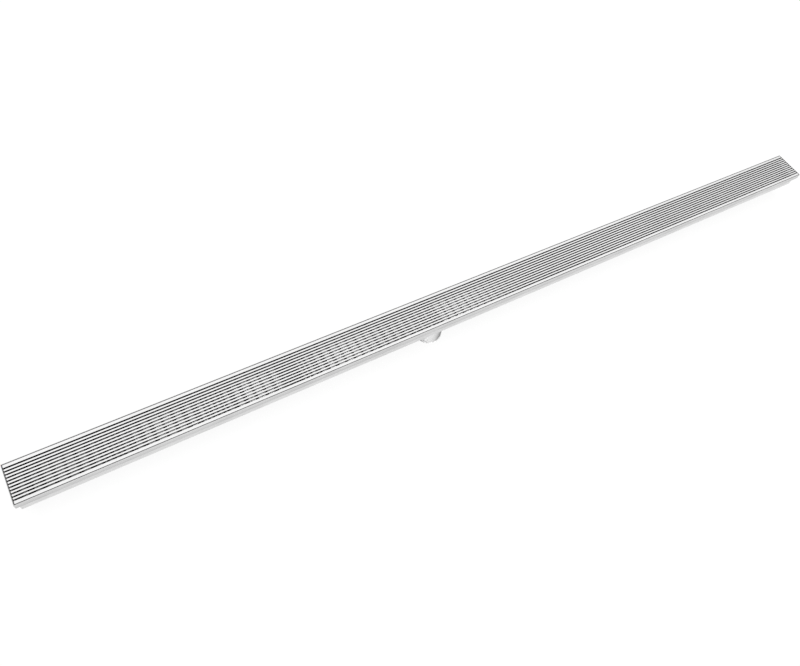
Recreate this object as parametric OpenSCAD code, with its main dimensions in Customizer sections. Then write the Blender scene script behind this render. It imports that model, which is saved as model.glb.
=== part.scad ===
// Linear shower drain: a stepped channel folded from sheet, closed by two end caps,
// with a round outlet spigot under its floor and a wedge wire grate seated on its ledge.
// Millimetres, +Z up. The origin is the centre of the spigot's lower end, and +X runs
// along the channel towards its longer arm.

/* [Channel] */
// Length over the two ends of the rim
channel_l = 1800; // [900:1:2400]
// Distance from the left end of the rim to the axis of the outlet
outlet_x = 752; // [100:1:800]
// Width over the two rims
channel_w = 70; // [68:0.1:110]
// Depth from the top of the rim to the underside of the floor
channel_h = 35; // [24:0.1:60]
// Thickness of the folded sheet
sheet_t = 1; // [0.7:0.1:1.5]
// Inner radius of the folds beside the ledge
fold_r = 0.5; // [0.3:0.1:0.9]
// Inner radius of the folds along the floor
floor_fold_r = 1.2; // [0.5:0.1:3]
// Depth from the top of the rim to the ledge that carries the grate
seat_depth = 12; // [11:0.1:16]
// How far each side wall of the trough stands inside the rim
side_step = 4.5; // [3.5:0.1:5.5]
// How far each end wall of the trough stands inside the rim
end_step = 4.5; // [3.5:0.1:12]

/* [Outlet] */
// Outer diameter of the spigot
spigot_d = 53; // [32:0.1:54]
// Wall thickness of the spigot
spigot_t = 1.5; // [1:0.1:3]
// Length of the spigot below the floor
spigot_l = 40; // [20:0.1:80]
// Radius of the weld fillet where the spigot meets the floor
weld_r = 1.5; // [0.5:0.1:3]

/* [Grate] */
// Clearance between the grate and the folds around its seat
grate_clearance = 0.1; // [0.1:0.1:0.6]
// Thickness of the two edge bars
edge_bar_t = 5.4; // [3:0.1:7]
// Radius of the eased edges of an edge bar
edge_bar_r = 0.3; // [0.2:0.1:0.8]
// Number of wedge wires between the edge bars
wire_count = 10; // [8:1:12]
// Width of a wedge wire at the top
wire_w = 2.8; // [2:0.1:3.6]
// Width of a wedge wire at its foot
wire_foot_w = 0.9; // [0.5:0.1:1.5]
// Height of the straight land under a wedge wire's top
wire_land_h = 0.4; // [0.2:0.1:1]
// Height of a wedge wire
wire_h = 4.8; // [3:0.1:5]
// Radius of the two upper edges of a wedge wire
wire_edge_r = 0.2; // [0.1:0.05:0.2]
// Width of a support rod
rod_w = 3; // [2:0.1:4]
// Height of a support rod
rod_h = 6; // [3:0.1:6]
// Chamfer along the two lower edges of a support rod
rod_chamfer = 0.8; // [0.3:0.1:0.9]
// Spacing of the support rods, before it is evened out over the grate
rod_pitch = 17; // [10:0.1:40]

/* [Hidden] */

fold_steel = "gainsboro";
cap_steel = "lightgray";
spigot_steel = "silver";
bar_steel = "whitesmoke";
wire_steel = "white";
rod_steel = "darkgray";
fold_fn = 48;
spigot_fn = 96;

// Cuts run past the faces that they open by this much
over = 2;

// Heights
floor_under_z = spigot_l;
floor_top_z = floor_under_z + sheet_t;
top_z = floor_under_z + channel_h;
seat_z = top_z - seat_depth;
ledge_under_z = seat_z - sheet_t;

// Places along the channel
left_x = -outlet_x;
right_x = left_x + channel_l;

// Outer radii of the folds
fold_outer_r = fold_r + sheet_t;
floor_fold_outer_r = floor_fold_r + sheet_t;

// Half widths
rim_y = channel_w / 2;
trough_y = rim_y - side_step;
floor_flat_y = trough_y - floor_fold_outer_r;

// The spigot's bore runs on through the floor, and its weld keeps to the floor's flat
spigot_r = spigot_d / 2;
bore_r = spigot_r - spigot_t;
weld_leg = min(weld_r, floor_flat_y - spigot_r);

// The grate lies on the flat of the ledge, clear of the folds around it
grate_inset = sheet_t + fold_r + grate_clearance;
grate_y = rim_y - grate_inset;
grate_left_x = left_x + grate_inset;
grate_l = channel_l - 2 * grate_inset;
bar_inner_y = grate_y - edge_bar_t;
slot_w = (2 * bar_inner_y - wire_count * wire_w) / (wire_count + 1);
wire_foot_z = top_z - wire_h;
rod_run = grate_l - rod_w;
rod_gaps = round(rod_run / rod_pitch);
rod_step = rod_run / rod_gaps;

// Places of wires, counted from 1 at the front, and of rods, counted from 0 at the left
function wire_y(i) = -bar_inner_y + i * slot_w + (i - 0.5) * wire_w;
function rod_x(i) = grate_left_x + rod_w / 2 + i * rod_step;

// Carries a cross section along X
module along_x(from_x, length) {
    translate([from_x, 0, 0]) rotate([90, 0, 90]) linear_extrude(length) children();
}

// Carries a lengthwise section across the whole rim
module across_y() {
    translate([0, rim_y, 0]) rotate([90, 0, 0]) linear_extrude(channel_w) children();
}

// Rectangle whose two lower corners are rounded
module round_bottomed(half_w, low_z, high_z, r) {
    translate([-half_w, low_z + r]) square([2 * half_w, high_z - low_z - r]);
    translate([r - half_w, low_z]) square([2 * (half_w - r), 2 * r]);
    for (side = [-1, 1]) {
        translate([side * (half_w - r), low_z + r]) circle(r, $fn = fold_fn);
    }
}

// A wide rim above a narrower trough, with the step between them rounded
module stepped_outline(wide, narrow, low_z, step_z, high_z, low_r, rim_r, step_r) {
    round_bottomed(wide, step_z, high_z, rim_r);
    round_bottomed(narrow, low_z, step_z + rim_r, low_r);
    for (side = [-1, 1]) {
        difference() {
            translate([side * narrow - step_r, step_z - step_r]) square([2 * step_r, step_r + rim_r]);
            translate([side * (narrow + step_r), step_z - step_r]) circle(step_r, $fn = fold_fn);
        }
    }
}

// Outer face of sheet folded with a step, down to low_z
module outer_outline(step, low_z) {
    stepped_outline(rim_y, rim_y - step, low_z, ledge_under_z, top_z,
                    floor_fold_outer_r, fold_outer_r, fold_r);
}

// Inner face of the same sheet, up to high_z
module inner_outline(step, low_z, high_z) {
    stepped_outline(rim_y - sheet_t, rim_y - step - sheet_t, low_z + sheet_t, seat_z, high_z,
                    floor_fold_r, fold_r, fold_outer_r);
}

module folded_sheet(step, low_z) {
    difference() {
        outer_outline(step, low_z);
        inner_outline(step, low_z, top_z + over);
    }
}

// The channel's rim and ledge run its whole length, and its trough stops at the end walls
module channel() {
    color(fold_steel) difference() {
        along_x(left_x, channel_l) folded_sheet(side_step, floor_under_z);
        for (x = [left_x - over, right_x - end_step]) {
            translate([x, -rim_y, floor_under_z - over])
                cube([end_step + over, channel_w, ledge_under_z - floor_under_z + over]);
        }
        translate([0, 0, floor_under_z - over])
            cylinder(h = sheet_t + 2 * over, r = bore_r, $fn = spigot_fn);
    }
}

// Stepped end wall, cut to the channel's inner face and standing on its floor
module end_cap_left() {
    color(cap_steel) intersection() {
        along_x(left_x, end_step + sheet_t) inner_outline(side_step, floor_under_z, top_z);
        across_y() translate([left_x + rim_y, 0]) folded_sheet(end_step, floor_under_z - channel_h);
    }
}

module end_cap_right() {
    translate([left_x + right_x, 0, 0]) mirror([1, 0, 0]) end_cap_left();
}

// Plain tube butted under the floor, with a weld fillet around its top
module outlet_spigot() {
    color(spigot_steel) rotate_extrude($fn = spigot_fn) {
        translate([bore_r, 0]) square([spigot_t, spigot_l]);
        difference() {
            translate([bore_r, spigot_l - weld_leg]) square([spigot_t + weld_leg, weld_leg]);
            translate([spigot_r + weld_leg, spigot_l - weld_leg]) circle(weld_leg, $fn = fold_fn);
        }
    }
}

// Flat bar on edge, as high as the seat is deep, with eased edges
module edge_bar(side) {
    low_y = side > 0 ? bar_inner_y : -grate_y;
    color(bar_steel) along_x(grate_left_x, grate_l) translate([low_y, seat_z]) {
        translate([edge_bar_r, 0]) square([edge_bar_t - 2 * edge_bar_r, seat_depth]);
        translate([0, edge_bar_r]) square([edge_bar_t, seat_depth - 2 * edge_bar_r]);
        for (y = [edge_bar_r, edge_bar_t - edge_bar_r], z = [edge_bar_r, seat_depth - edge_bar_r]) {
            translate([y, z]) circle(edge_bar_r, $fn = fold_fn);
        }
    }
}

// Wire with a flat top, a short straight land and sides that close towards its foot
module wedge_wire(i) {
    color(wire_steel) along_x(grate_left_x, grate_l) translate([wire_y(i), top_z]) {
        polygon([
            [-wire_w / 2, -wire_edge_r],
            [-wire_w / 2, -wire_land_h],
            [-wire_foot_w / 2, -wire_h],
            [wire_foot_w / 2, -wire_h],
            [wire_w / 2, -wire_land_h],
            [wire_w / 2, -wire_edge_r]
        ]);
        translate([wire_edge_r - wire_w / 2, -2 * wire_edge_r])
            square([wire_w - 2 * wire_edge_r, 2 * wire_edge_r]);
        for (side = [-1, 1]) {
            translate([side * (wire_w / 2 - wire_edge_r), -wire_edge_r]) circle(wire_edge_r, $fn = fold_fn);
        }
    }
}

// Rod from edge bar to edge bar, with the wires' feet on its flat top
module support_rod(i) {
    color(rod_steel) translate([rod_x(i), bar_inner_y, wire_foot_z])
        rotate([90, 0, 0]) linear_extrude(2 * bar_inner_y) polygon([
            [-rod_w / 2, 0],
            [-rod_w / 2, rod_chamfer - rod_h],
            [rod_chamfer - rod_w / 2, -rod_h],
            [rod_w / 2 - rod_chamfer, -rod_h],
            [rod_w / 2, rod_chamfer - rod_h],
            [rod_w / 2, 0]
        ]);
}

module support_rods() {
    for (i = [1:rod_gaps - 1]) {
        support_rod(i);
    }
}

channel();
end_cap_left();
end_cap_right();
outlet_spigot();
edge_bar(-1);  // edge_bar_front
edge_bar(1);  // edge_bar_back
support_rod(0);  // end_rod_left
support_rod(rod_gaps);  // end_rod_right
support_rods();
for (i = [1:wire_count]) {
    wedge_wire(i);
}
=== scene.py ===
"""Linear shower drain, dressed and lit: folded channel, wedge wire grate and outlet spigot."""

from math import cos, pi, radians, sin

import bmesh
import bpy
from mathutils import Matrix, Vector


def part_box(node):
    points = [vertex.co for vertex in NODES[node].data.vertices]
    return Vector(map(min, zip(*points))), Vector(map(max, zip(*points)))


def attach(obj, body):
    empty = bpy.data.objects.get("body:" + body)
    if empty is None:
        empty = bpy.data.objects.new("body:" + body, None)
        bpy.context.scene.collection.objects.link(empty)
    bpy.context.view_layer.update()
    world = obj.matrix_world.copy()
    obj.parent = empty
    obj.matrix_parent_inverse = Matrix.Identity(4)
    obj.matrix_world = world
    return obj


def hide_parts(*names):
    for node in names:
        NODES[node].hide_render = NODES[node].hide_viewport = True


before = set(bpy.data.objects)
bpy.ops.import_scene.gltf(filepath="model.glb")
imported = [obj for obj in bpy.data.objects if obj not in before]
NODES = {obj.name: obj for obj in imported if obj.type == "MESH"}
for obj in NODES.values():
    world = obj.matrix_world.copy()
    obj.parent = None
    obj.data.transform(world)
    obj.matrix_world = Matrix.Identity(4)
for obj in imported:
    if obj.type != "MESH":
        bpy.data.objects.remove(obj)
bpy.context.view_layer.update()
MM = 0.001

# Camera: where it stands, the point on the grate in the picture's centre, its roll and its lens
CAMERA_AT = Vector((-580.2, -510.5, 1139.2)) * MM
CAMERA_SEES = Vector((-86.6, -16.2, 75.0)) * MM
CAMERA_ROLL = radians(17.334)
LENS_MM = 31.468
SENSOR_MM = 36.0
CAMERA_NEAR = 0.05
CAMERA_FAR = 60.0

# Studio: the floor's paper, the dome's strength from its horizon to its top, and the lamp
FLOOR_HALF = 9.0
FLOOR_COLOUR = 0.86
FLOOR_GLOW = 0.98
GLOW_SHARE = 0.95
SKY_LOW = 0.62
SKY_HIGH = 1.0
SKY_LOW_UP_TO = 0.05
SKY_HIGH_FROM = 0.75
LAMP_STRENGTH = 5.0
LAMP_SPREAD = radians(45)
LAMP_AT = (0, 0, 2)

# The channel, from its CAD nodes, with the sheet and the step of the part's source
CHANNEL_LOW, CHANNEL_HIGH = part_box("channel")
MID_X = (CHANNEL_LOW.x + CHANNEL_HIGH.x) / 2
HALF_L = (CHANNEL_HIGH.x - CHANNEL_LOW.x) / 2
HALF_W = CHANNEL_HIGH.y
TOP_Z = CHANNEL_HIGH.z
FLOOR_UNDER_Z = CHANNEL_LOW.z
SHEET = 1.0 * MM
STEP = 4.5 * MM
SPIGOT_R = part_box("outlet_spigot")[1].x

# The grate, from its CAD nodes
BAR_LOW, BAR_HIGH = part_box("edge_bar_front")
LEDGE_Z = BAR_LOW.z
BAR_INNER_Y = -BAR_HIGH.y
BAR_OUTER_Y = -BAR_LOW.y
GRATE_LEFT_X = BAR_LOW.x
GRATE_RIGHT_X = BAR_HIGH.x
WIRE_FOOT_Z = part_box("support_rods")[1].z
WIRE_NAMES = [f"wedge_wire_{i}" for i in range(1, 11)]

# Cross rods, as the slots show them
ROD_R = 2.5 * MM
ROD_INSET = 11.2 * MM
ROD_PITCH = 16.86 * MM
ROD_SIDES = 24
ROD_Z = WIRE_FOOT_Z - ROD_R

# Flat bars under the rods, in two runs between the left end and the outlet
FLAT_W = 4.6 * MM
FLAT_H = 2.0 * MM
FLAT_EASE = 0.3 * MM
FLAT_EASE_FACETS = 3
FLAT_Z = ROD_Z - ROD_R - FLAT_H / 2
FIRST_RUN_INSET = 3.5 * MM
FIRST_RUN_PITCH = 18.91 * MM
FIRST_RUN_COUNT = 29
SECOND_RUN_FROM_OUTLET = 4.8 * MM
SECOND_RUN_PITCH = 17.68 * MM
SECOND_RUN_COUNT = 18

# Welds of the grate: half sizes of the one at a crossing, and the ring around a rod's end
NUGGET = Vector((1.0, 0.8, 0.35)) * MM
NUGGET_TURNS = 10
NUGGET_RINGS = 6
ROD_WELD_R = 0.4 * MM
ROD_WELD_SIDES = 8
ROD_WELD_POINTS = 20

# Seams of the end walls: beads that ripple, and that follow the trough's folds
SEAM_R = 0.55 * MM
SEAM_SIDES = 10
SEAM_RIPPLE = 0.06 * MM
SEAM_RIPPLE_LENGTH = 1.1 * MM
SEAM_FOLD_R = 1.7 * MM
SEAM_FOLD_POINTS = 6
RIPPLE_POINTS = 6

# Bounds of the masks on the steel. Where they part two faces of a sheet, they lie inside it.
SEAT_INSET = 0.95 * SHEET
TROUGH_INSET = STEP + 0.9 * SHEET
SEAT_FROM_Z = LEDGE_Z - SHEET / 2
INSIDE_FROM_Z = FLOOR_UNDER_Z + SHEET / 2
FLOOR_UP_TO_Z = FLOOR_UNDER_Z + 2 * SHEET
TOP_EDGE = 0.03 * MM
RIM_EDGE = 0.2 * MM
RIM_SHADE = 3.0 * MM
GAP_EDGE = 0.7 * MM

# Painted shade: share of its tone that the steel keeps in each place
RIM_TOP_PAINTED_SHADE = 0.80
UPPER_TIER_HIGH_PAINTED_SHADE = 0.80
UPPER_TIER_LOW_PAINTED_SHADE = 0.68
LOWER_TIER_PAINTED_SHADE = 0.86
SEAT_PAINTED_SHADE = 0.45
INNER_WALLS_PAINTED_SHADE = 0.04
# Painted shade on the grate beside the rim, at its ends, and below the wires' tops
GRATE_EDGES_PAINTED_SHADE = 0.42
GRATE_ENDS_PAINTED_SHADE = 0.15
GRATE_DEPTHS_PAINTED_SHADE = 0.04

# Painted shade on the trough's floor, which is palest between a rise and a fall along its length
FLOOR_LEFT_PAINTED_SHADE = 0.36
FLOOR_MIDDLE = 1.0
FLOOR_RIGHT_PAINTED_SHADE = 0.12
FLOOR_RISE = 400 * MM
FLOOR_FALL_FROM = 0 * MM
FLOOR_FALL_TO = 260 * MM

# The steel's tone mixes fine lines with a wide cloud, of so many cells per metre along each axis
CLOUD = (9.0, 30.0, 30.0)
LINES_SHARE = 0.65
TONE_FROM = 0.32
TONE_TO = 0.68
GRAIN_DEPTH = 0.04 * MM


class Nodes:
    """A small helper that adds shader nodes to one tree and links them."""

    def __init__(self, tree):
        self.tree = tree
        tree.nodes.clear()

    def add(self, kind, inputs=None, **settings):
        node = self.tree.nodes.new("ShaderNode" + kind)
        for name, value in settings.items():
            setattr(node, name, value)
        for key, value in (inputs or {}).items():
            self.put(node.inputs[key], value)
        return node

    def put(self, socket, value):
        if isinstance(value, bpy.types.NodeSocket):
            self.tree.links.new(value, socket)
        else:
            socket.default_value = value

    def math(self, operation, a, b=0.0):
        return self.add("Math", {0: a, 1: b}, operation=operation).outputs[0]

    def times(self, *values):
        product = values[0]
        for value in values[1:]:
            product = self.math("MULTIPLY", product, value)
        return product

    def plus(self, a, b):
        return self.math("ADD", a, b)

    def minus(self, a, b):
        return self.math("SUBTRACT", a, b)

    def either(self, a, b):
        return self.math("MAXIMUM", a, b)

    def over(self, value, limit):
        return self.math("GREATER_THAN", value, limit)

    def under(self, value, limit):
        return self.math("LESS_THAN", value, limit)

    def span(self, value, low, high, to_low=0.0, to_high=1.0):
        """A smooth rise or fall from to_low at low to to_high at high"""
        inputs = {
            "Value": value,
            "From Min": low,
            "From Max": high,
            "To Min": to_low,
            "To Max": to_high,
        }
        return self.add("MapRange", inputs, interpolation_type="SMOOTHSTEP").outputs[0]

    def noise(self, coordinates, scale, detail, roughness):
        """Noise whose scale is given for each axis, in cells per metre"""
        mapped = self.add("Mapping", {"Vector": coordinates, "Scale": scale}).outputs[0]
        inputs = {"Vector": mapped, "Scale": 1.0, "Detail": detail, "Roughness": roughness}
        return self.add("TexNoise", inputs).outputs["Fac"]

    def place(self):
        """The place on the part, which is the same in every view"""
        return self.add("TexCoord").outputs["Object"]

    def axes(self, place):
        return self.add("SeparateXYZ", {0: place}).outputs


def grey(value):
    return (value, value, value, 1)


def new_material(name):
    material = bpy.data.materials.new(name)
    material.use_nodes = True
    return material, Nodes(material.node_tree)


def dress(objects, material):
    for piece in objects:
        piece.data.materials.clear()
        piece.data.materials.append(material)


def make_camera():
    data = bpy.data.cameras.new("camera")
    data.lens = LENS_MM
    data.sensor_width = SENSOR_MM
    data.sensor_fit = "HORIZONTAL"
    data.clip_start = CAMERA_NEAR
    data.clip_end = CAMERA_FAR
    camera = bpy.data.objects.new("camera", data)
    bpy.context.scene.collection.objects.link(camera)
    looking = (CAMERA_SEES - CAMERA_AT).to_track_quat("-Z", "Y").to_matrix().to_4x4()
    rolled = looking @ Matrix.Rotation(CAMERA_ROLL, 4, "Z")
    camera.matrix_world = Matrix.Translation(CAMERA_AT) @ rolled
    bpy.context.scene.camera = camera


def make_world():
    """A soft dome, brightest overhead; whatever looks straight at it sees plain white"""
    world = bpy.data.worlds.new("studio")
    bpy.context.scene.world = world
    world.use_nodes = True
    n = Nodes(world.node_tree)
    upward = n.axes(n.add("TexCoord").outputs["Generated"])["Z"]
    dome = n.span(upward, SKY_LOW_UP_TO, SKY_HIGH_FROM, SKY_LOW, SKY_HIGH)
    seen = n.add("LightPath").outputs["Is Camera Ray"]
    background = n.add("Background", {"Color": grey(1), "Strength": n.either(dome, seen)})
    n.add("OutputWorld", {"Surface": background.outputs[0]})


def make_overhead_lamp():
    """A soft light from straight above. It makes no highlights, so on the part it lights only the
    dull floor of the trough and the dull seat."""
    data = bpy.data.lights.new("overhead", "SUN")
    data.energy = LAMP_STRENGTH
    data.angle = LAMP_SPREAD
    lamp = bpy.data.objects.new("overhead", data)
    lamp.location = LAMP_AT
    lamp.visible_glossy = False
    bpy.context.scene.collection.objects.link(lamp)


def make_floor():
    """Pale paper that takes the shadow. It looks near white to the camera and in the steel, but
    not inside the spigot, nor where the steel mirrors the strip under the channel."""
    mesh = bpy.data.meshes.new("floor")
    shape = bmesh.new()
    bmesh.ops.create_grid(shape, x_segments=1, y_segments=1, size=FLOOR_HALF)
    shape.to_mesh(mesh)
    shape.free()
    floor = bpy.data.objects.new("floor", mesh)
    bpy.context.scene.collection.objects.link(floor)
    material, n = new_material("floor_paper")
    paper = n.add("BsdfDiffuse", {"Color": grey(FLOOR_COLOUR)})
    glow = n.add("Emission", {"Color": grey(1), "Strength": FLOOR_GLOW})
    path = n.add("LightPath").outputs
    seen = n.either(path["Is Camera Ray"], path["Is Glossy Ray"])
    seen = n.either(seen, path["Is Transmission Ray"])
    place = n.place()
    off_axis = n.add("VectorMath", {0: place}, operation="LENGTH").outputs["Value"]
    across = n.math("ABSOLUTE", n.axes(place)["Y"])
    mirrored = n.times(path["Is Glossy Ray"], n.under(across, SPIGOT_R))
    share = n.times(seen, n.over(off_axis, SPIGOT_R), n.minus(1.0, mirrored), GLOW_SHARE)
    mixed = n.add("MixShader", {0: share, 1: paper.outputs[0], 2: glow.outputs[0]})
    n.add("OutputMaterial", {"Surface": mixed.outputs[0]})
    dress([floor], material)


def steel(name, tones, roughness, grain, bump, painted_shades=None, edge_shade_tint=1.0):
    """Brushed or satin steel, between two tones and two roughnesses. grain is the fine lines'
    cells per metre along each axis. The shading function gives pairs of a mask and the share of
    its tone that the steel keeps under it, which is painted shade, and a mask of where it is too
    dull to mirror anything, or None. A low edge tint darkens the reflections at grazing angles,
    painted shade along the silhouette."""
    material, n = new_material(name)
    place = n.place()
    lines = n.noise(place, grain, detail=5.0, roughness=0.7)
    cloud = n.noise(place, CLOUD, detail=3.0, roughness=0.6)
    mixed = n.plus(n.times(lines, LINES_SHARE), n.times(cloud, 1 - LINES_SHARE))
    tone = n.span(mixed, TONE_FROM, TONE_TO)
    value = n.span(tone, 0.0, 1.0, *tones)
    pairs, hazy = painted_shades(n, place) if painted_shades else ([], None)
    # Painted shade: under each mask the tone is cut to the share it keeps
    for mask, kept in pairs:
        value = n.times(value, n.plus(n.times(mask, n.minus(kept, 1.0)), 1.0))
    relief = n.add("Bump", {"Height": lines, "Strength": bump, "Distance": GRAIN_DEPTH})
    shader = n.add("BsdfPrincipled", {
        "Base Color": n.add("CombineColor", {0: value, 1: value, 2: value}).outputs[0],
        "Metallic": n.minus(1.0, hazy) if hazy else 1.0,
        "Roughness": n.span(tone, 0.0, 1.0, *roughness),
        "Specular Tint": grey(edge_shade_tint),
        "Normal": relief.outputs[0],
    })
    n.add("OutputMaterial", {"Surface": shader.outputs[0]})
    return material


def channel_painted_shade(n, place):
    """Painted shade on the folded sheet: strong in its seat and trough, and a little on its outer
    faces
    """
    x, y, z = n.axes(place)
    along = n.math("ABSOLUTE", n.minus(x, MID_X))
    across = n.math("ABSOLUTE", y)
    high = n.over(z, SEAT_FROM_Z)
    inset = n.span(high, 0.0, 1.0, TROUGH_INSET, SEAT_INSET)
    within_x = n.under(n.plus(along, inset), HALF_L)
    within_y = n.under(n.plus(across, inset), HALF_W)
    inner = n.times(within_x, within_y, n.over(z, INSIDE_FROM_Z))
    outer = n.minus(1.0, inner)
    seat = n.times(inner, high, n.under(z, TOP_Z - RIM_SHADE))
    floor = n.times(inner, n.under(z, FLOOR_UP_TO_Z))
    walls = n.minus(n.minus(inner, floor), seat)
    # Painted shade on the outer faces: the rim top, the upper tier darker toward its ledge, and
    # the lower tier
    rim_top = n.times(outer, n.over(z, TOP_Z - TOP_EDGE))
    upper = n.times(outer, high, n.under(z, TOP_Z - RIM_EDGE))
    lower = n.times(outer, n.minus(1.0, high))
    upper_kept = n.span(z, LEDGE_Z, TOP_Z, UPPER_TIER_LOW_PAINTED_SHADE, UPPER_TIER_HIGH_PAINTED_SHADE)
    # Painted shade along the trough's floor, darker toward both ends
    rise = n.span(x, CHANNEL_LOW.x, CHANNEL_LOW.x + FLOOR_RISE, FLOOR_LEFT_PAINTED_SHADE, FLOOR_MIDDLE)
    fall = n.span(x, FLOOR_FALL_FROM, FLOOR_FALL_TO, 1.0, FLOOR_RIGHT_PAINTED_SHADE)
    pairs = [
        (seat, SEAT_PAINTED_SHADE),
        (walls, INNER_WALLS_PAINTED_SHADE),
        (floor, n.times(rise, fall)),
        (upper, upper_kept),
        (lower, LOWER_TIER_PAINTED_SHADE),
        (rim_top, RIM_TOP_PAINTED_SHADE),
    ]
    return pairs, n.plus(floor, seat)


def grate_painted_shade(n, place):
    """Painted shade on the grate: under the wires' tops, and on its outer edges beside the rim"""
    x, y, z = n.axes(place)
    beside = n.over(n.math("ABSOLUTE", y), BAR_OUTER_Y - GAP_EDGE)
    left = n.under(x, GRATE_LEFT_X + GAP_EDGE)
    right = n.over(x, GRATE_RIGHT_X - GAP_EDGE)
    depths = n.under(z, TOP_Z - TOP_EDGE)
    pairs = [
        (beside, GRATE_EDGES_PAINTED_SHADE),
        (n.either(left, right), GRATE_ENDS_PAINTED_SHADE),
        (depths, GRATE_DEPTHS_PAINTED_SHADE),
    ]
    return pairs, None


def new_piece(name, mesh, material):
    piece = bpy.data.objects.new(name, mesh)
    bpy.context.scene.collection.objects.link(piece)
    dress([piece], material)
    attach(piece, "root")
    return piece


def repeated(name, shape, places, is_smooth):
    """One mesh with a copy of the shape at each place"""
    corners = [v.co.copy() for v in shape.verts]
    sides = [[v.index for v in face.verts] for face in shape.faces]
    smooth = [is_smooth(face) for face in shape.faces]
    shape.free()
    mesh = bpy.data.meshes.new(name)
    vertices = [place + corner for place in places for corner in corners]
    faces = [[k * len(corners) + i for i in side] for k in range(len(places)) for side in sides]
    mesh.from_pydata(vertices, [], faces)
    mesh.polygons.foreach_set("use_smooth", smooth * len(places))
    return mesh


def turns(count):
    """Angles of a full turn"""
    return [2 * pi * i / count for i in range(count)]


def quarter(count):
    """Angles of a quarter turn, both ends included"""
    return [pi / 2 * i / count for i in range(count + 1)]


def stepped(route, step):
    """Points along the route, about a step apart"""
    line = []
    for start, end in zip(route, route[1:]):
        count = max(1, round((end - start).length / step))
        line += [start.lerp(end, i / count) for i in range(count)]
    return line + [route[-1]]


def bead(line, wide, narrow, sides, closed):
    """A round bead along a line in an upright plane across X, swelling and narrowing in ripples"""
    shape = bmesh.new()
    rings = []
    count = len(line)
    aside = Vector((1, 0, 0))
    for i, point in enumerate(line):
        after = line[(i + 1) % count] if closed else line[min(i + 1, count - 1)]
        before = line[i - 1] if closed or i else line[0]
        rise = (after - before).normalized().cross(aside)
        radius = (wide + narrow) / 2 + (wide - narrow) / 2 * cos(2 * pi * i / RIPPLE_POINTS)
        ring = [point + radius * (aside * cos(a) + rise * sin(a)) for a in turns(sides)]
        rings.append([shape.verts.new(corner) for corner in ring])
    shape.verts.index_update()
    for i in range(count if closed else count - 1):
        here = rings[i]
        there = rings[(i + 1) % count]
        for k in range(sides):
            shape.faces.new((here[k - 1], here[k], there[k], there[k - 1]))
    return shape


def rod_places():
    last = GRATE_RIGHT_X - ROD_INSET
    count = int((last - GRATE_LEFT_X - ROD_INSET) / ROD_PITCH) + 1
    return [GRATE_LEFT_X + ROD_INSET + i * ROD_PITCH for i in range(count)]


def flat_places():
    """The two runs; a bar of the second run that would touch one of the first is left out"""
    first = [GRATE_LEFT_X + FIRST_RUN_INSET + i * FIRST_RUN_PITCH for i in range(FIRST_RUN_COUNT)]
    second = [-SECOND_RUN_FROM_OUTLET - i * SECOND_RUN_PITCH for i in range(SECOND_RUN_COUNT)]
    return first + [x for x in second if min(abs(x - other) for other in first) > FLAT_W]


def make_rods(material):
    """Round rods from edge bar to edge bar, with the wires' feet on them"""
    shape = bmesh.new()
    bmesh.ops.create_cone(
        shape,
        cap_ends=True,
        segments=ROD_SIDES,
        radius1=ROD_R,
        radius2=ROD_R,
        depth=2 * BAR_INNER_Y,
        matrix=Matrix.Rotation(pi / 2, 4, "X"),
    )
    places = [Vector((x, 0, ROD_Z)) for x in rod_places()]
    mesh = repeated("cross_rods", shape, places, lambda face: len(face.verts) == 4)
    rods = new_piece("cross_rods", mesh, material)
    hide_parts("support_rods", "end_rod_left", "end_rod_right")


def make_flats(material):
    """Flat bars with eased edges, under the rods"""
    shape = bmesh.new()
    size = Matrix.Diagonal((FLAT_W, 2 * BAR_INNER_Y, FLAT_H, 1))
    bmesh.ops.create_cube(shape, size=1, matrix=size)
    long_edges = [e for e in shape.edges if abs(e.verts[0].co.y - e.verts[1].co.y) > BAR_INNER_Y]
    bmesh.ops.bevel(
        shape, geom=long_edges, offset=FLAT_EASE, segments=FLAT_EASE_FACETS, affect="EDGES"
    )
    places = [Vector((x, 0, FLAT_Z)) for x in flat_places()]
    mesh = repeated("lower_flats", shape, places, lambda face: False)
    new_piece("lower_flats", mesh, material)


def make_crossing_welds(material):
    """The weld at each crossing of a wire and a rod, a little wider than the wire's foot"""
    shape = bmesh.new()
    size = Matrix.Diagonal((*NUGGET, 1))
    bmesh.ops.create_uvsphere(
        shape, u_segments=NUGGET_TURNS, v_segments=NUGGET_RINGS, radius=1, matrix=size
    )
    wire_places = [(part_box(name)[0].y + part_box(name)[1].y) / 2 for name in WIRE_NAMES]
    places = [Vector((x, y, WIRE_FOOT_Z)) for x in rod_places() for y in wire_places]
    mesh = repeated("crossing_welds", shape, places, lambda face: True)
    new_piece("crossing_welds", mesh, material)


def make_rod_welds(material):
    """A ring of weld around each rod's end, against the edge bar"""
    ring = [Vector((sin(a) * ROD_R, 0, cos(a) * ROD_R)) for a in turns(ROD_WELD_POINTS)]
    shape = bead(ring, ROD_WELD_R, ROD_WELD_R, ROD_WELD_SIDES, True)
    places = [Vector((x, side * BAR_INNER_Y, ROD_Z)) for x in rod_places() for side in (-1, 1)]
    mesh = repeated("rod_end_welds", shape, places, lambda face: True)
    new_piece("rod_end_welds", mesh, material)


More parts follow.
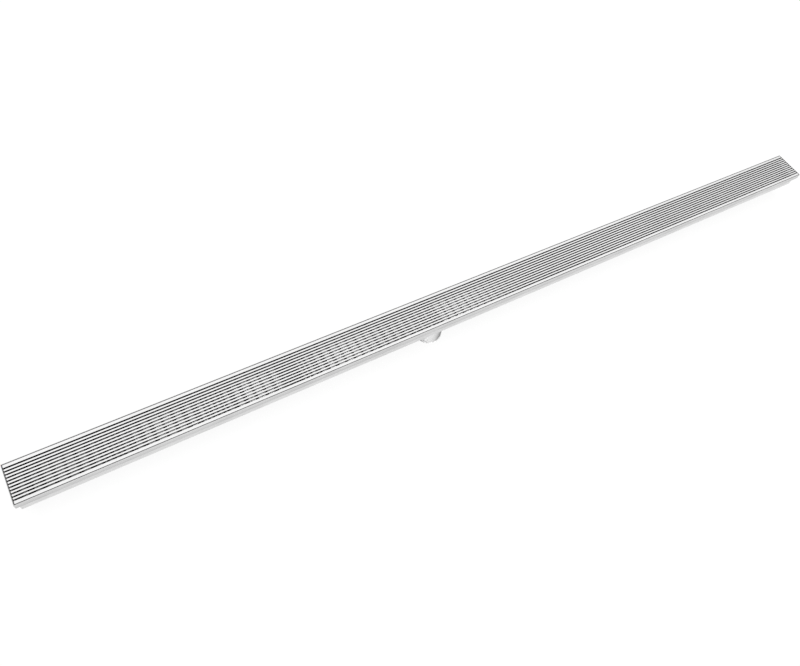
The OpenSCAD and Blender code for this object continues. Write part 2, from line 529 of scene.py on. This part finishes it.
def make_end_seams(material):
    """The rippled bead that closes each end wall to the channel's trough, outside"""
    half_w = HALF_W - STEP - SHEET / 2
    low = FLOOR_UNDER_Z + SHEET / 2
    high = LEDGE_Z - 1.5 * SHEET
    fold_y = half_w - SEAM_FOLD_R
    fold_z = low + SEAM_FOLD_R
    angles = quarter(SEAM_FOLD_POINTS)
    route = [Vector((0, -half_w, high)), Vector((0, -half_w, fold_z))]
    for a in angles:
        reach = SEAM_FOLD_R * Vector((0, -cos(a), -sin(a)))
        route.append(Vector((0, -fold_y, fold_z)) + reach)
    for a in angles:
        reach = SEAM_FOLD_R * Vector((0, sin(a), -cos(a)))
        route.append(Vector((0, fold_y, fold_z)) + reach)
    route += [Vector((0, half_w, fold_z)), Vector((0, half_w, high))]
    line = stepped(route, SEAM_RIPPLE_LENGTH / RIPPLE_POINTS)
    shape = bead(line, SEAM_R, SEAM_R - SEAM_RIPPLE, SEAM_SIDES, False)
    places = [Vector((MID_X + side * (HALF_L - STEP), 0, 0)) for side in (-1, 1)]
    mesh = repeated("end_seams", shape, places, lambda face: True)
    new_piece("end_seams", mesh, material)


make_camera()
make_world()
make_overhead_lamp()
make_floor()

satin = steel(
    "channel_satin",
    tones=(0.78, 0.86),
    roughness=(0.42, 0.30),
    grain=(60.0, 900.0, 900.0),
    bump=0.25,
    painted_shades=channel_painted_shade,
)
dress([NODES["channel"], NODES["end_cap_left"], NODES["end_cap_right"]], satin)

# Painted shade: a low edge tint darkens the spigot's reflections toward its silhouette
spun = steel(
    "spigot_satin",
    tones=(0.91, 0.97),
    roughness=(0.38, 0.25),
    grain=(300.0, 300.0, 1500.0),
    bump=0.25,
    edge_shade_tint=0.15,
)
dress([NODES["outlet_spigot"]], spun)

brushed = steel(
    "grate_brushed",
    tones=(0.90, 0.97),
    roughness=(0.40, 0.26),
    grain=(25.0, 2200.0, 2200.0),
    bump=0.3,
    painted_shades=grate_painted_shade,
)
grate_names = ["edge_bar_front", "edge_bar_back"] + WIRE_NAMES
dress([NODES[name] for name in grate_names], brushed)

# Painted shade: rods and flat bars near black, standing in for the shade under the wires
rods_painted_dark = steel(
    "rod_painted_shade",
    tones=(0.02, 0.035),
    roughness=(0.46, 0.34),
    grain=(1500.0, 60.0, 1500.0),
    bump=0.2,
)
make_rods(rods_painted_dark)
make_flats(rods_painted_dark)

# Welds: grey of heat tint, darkened further as painted shade under the wires
weld_heat_tint_and_shade = steel(
    "weld_heat_tint_and_painted_shade",
    tones=(0.06, 0.10),
    roughness=(0.55, 0.40),
    grain=(2500.0, 2500.0, 2500.0),
    bump=0.4,
)
make_crossing_welds(weld_heat_tint_and_shade)
make_rod_welds(weld_heat_tint_and_shade)

seam_grey = steel(
    "seam_steel",
    tones=(0.60, 0.72),
    roughness=(0.45, 0.30),
    grain=(900.0, 900.0, 900.0),
    bump=0.3,
)
make_end_seams(seam_grey)

bpy.context.scene.view_settings.view_transform = "Standard"
